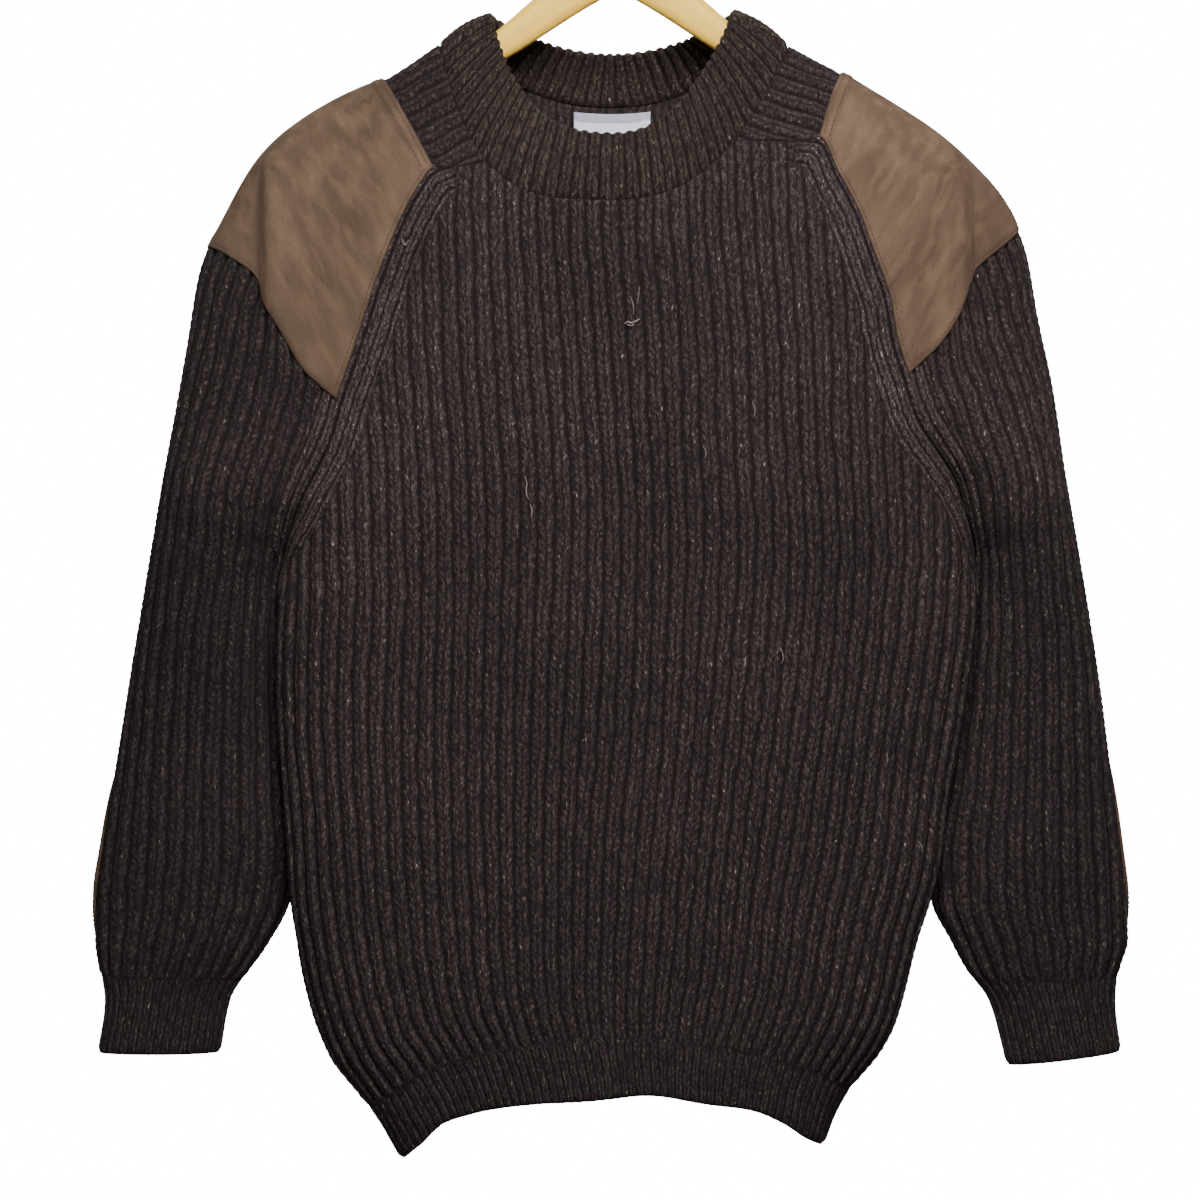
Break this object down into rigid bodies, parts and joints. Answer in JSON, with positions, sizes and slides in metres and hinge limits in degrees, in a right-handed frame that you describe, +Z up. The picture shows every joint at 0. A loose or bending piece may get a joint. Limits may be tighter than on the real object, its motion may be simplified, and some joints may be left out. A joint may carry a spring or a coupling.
{
  "type": "ribbed wool sweater on a wooden hanger",
  "caption": "Chunky ribbed crew-neck raglan pullover in dark wool with suede shoulder and elbow patches, on a wooden coat hanger with a steel hook.",
  "frame": {"origin": "inside of the hanger hook's crown, where the hook bears on its rail", "axes": "+Z up, +X to the right when looking at the front, the garment's front faces -Y"},
  "size_m": [0.7274, 0.1085, 0.9277],
  "materials": {
    "wool": "heathered chunky rib knit, matt",
    "suede": "napped suede, matt",
    "label_tape": "woven satin tape, blank",
    "hanger_wood": "pale varnished beech, satin",
    "hook_steel": "bright nickel-plated wire"
  },
  "bodies": {
    "root": {"front_panel": "wool", "back_panel": "wool", "sleeve_left": "wool", "sleeve_right": "wool", "collar": "wool", "shoulder_patch_left": "suede", "shoulder_patch_right": "suede", "elbow_patch_left": "suede", "elbow_patch_right": "suede", "neck_label": "label_tape", "hanger_bar": "hanger_wood", "hanger_hook": "hook_steel"}
  },
  "joints": []
}
